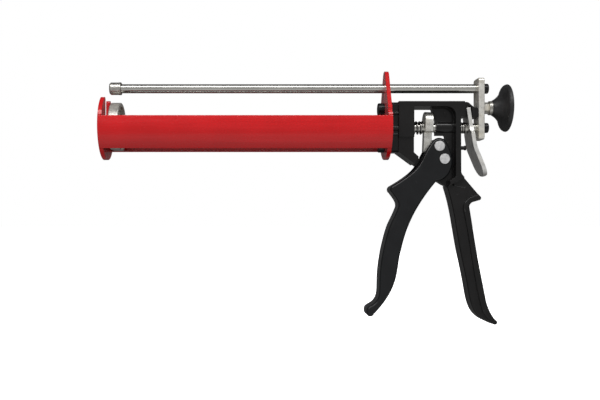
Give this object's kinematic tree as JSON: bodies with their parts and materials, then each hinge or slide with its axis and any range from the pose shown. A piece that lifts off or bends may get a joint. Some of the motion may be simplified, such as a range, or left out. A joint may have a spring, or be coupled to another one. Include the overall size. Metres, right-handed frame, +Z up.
{
  "type": "cartridge dispensing gun",
  "caption": "Twin-rod caulking gun with an open cradle, ratchet trigger, thumb release lever and pull knob, for two-part cartridges.",
  "frame": {"origin": "on the drive rod's axis, at the front face of the cradle's rear plate", "axes": "+X towards the pull knob, so the nozzle end points along -X; +Z up, with the handle down; +Y to the gun's right, seen from behind the knob"},
  "size_m": [0.4054, 0.064, 0.2518],
  "materials": {
    "red_paint": "gloss baked enamel",
    "black_casting": "black powder coat, satin",
    "black_oxide": "black oxide",
    "zinc_plate": "zinc plated, mottled",
    "rivet_steel": "satin",
    "bright_rod": "bright drawn and plated",
    "spring_steel": "bright wire",
    "black_plastic": "fine moulded grain"
  },
  "bodies": {
    "root": {"front_plate": "red_paint", "rail_near": "red_paint", "rail_far": "red_paint", "rear_plate": "red_paint", "cradle_screws": "black_oxide", "handle_body": "black_casting", "release_stop": "rivet_steel", "pivot_rivet": "rivet_steel", "main_spring": "spring_steel", "brake_spring": "spring_steel"},
    "trigger": {"trigger": "black_casting", "drive_pin": "rivet_steel", "drive_bush": "rivet_steel"},
    "drive_plate": {"drive_plate": "zinc_plate"},
    "release_lever": {"release_lever": "zinc_plate"},
    "carriage": {"drive_rod": "bright_rod", "push_rod": "bright_rod", "push_rod_cap": "zinc_plate", "main_piston": "zinc_plate", "piston_nut": "zinc_plate", "yoke_plate": "zinc_plate", "yoke_screws": "black_oxide", "knob_stud": "zinc_plate", "knob_nut": "zinc_plate", "knob_ferrule": "zinc_plate", "knob": "black_plastic"}
  },
  "joints": [
    {"name": "trigger_squeeze", "type": "hinge", "parent": "root", "child": "trigger", "pos_m": [0.0577, 0, -0.0318], "axis": [0, -1, 0], "range_deg": [0, 22], "stiffness_Nm_per_rad": 0.8, "springref_deg": -20.05},
    {"name": "drive_plate_slide", "type": "slide", "parent": "root", "child": "drive_plate", "axis": [-1, 0, 0], "range_m": [0, 0.0049], "deforming": ["main_spring"]},
    {"name": "release_press", "type": "hinge", "parent": "root", "child": "release_lever", "pos_m": [0.0812, 0, 0.0176], "axis": [0, 1, 0], "range_deg": [0, 4.5], "stiffness_Nm_per_rad": 2, "springref_deg": -5.73, "deforming": ["brake_spring"]},
    {"name": "rod_slide", "type": "slide", "parent": "root", "child": "carriage", "axis": [1, 0, 0], "range_m": [0, 0.25]}
  ],
  "couplings": [
    {"joint": "drive_plate_slide", "follows": "trigger_squeeze", "m_per_rad": 0.0127}
  ]
}
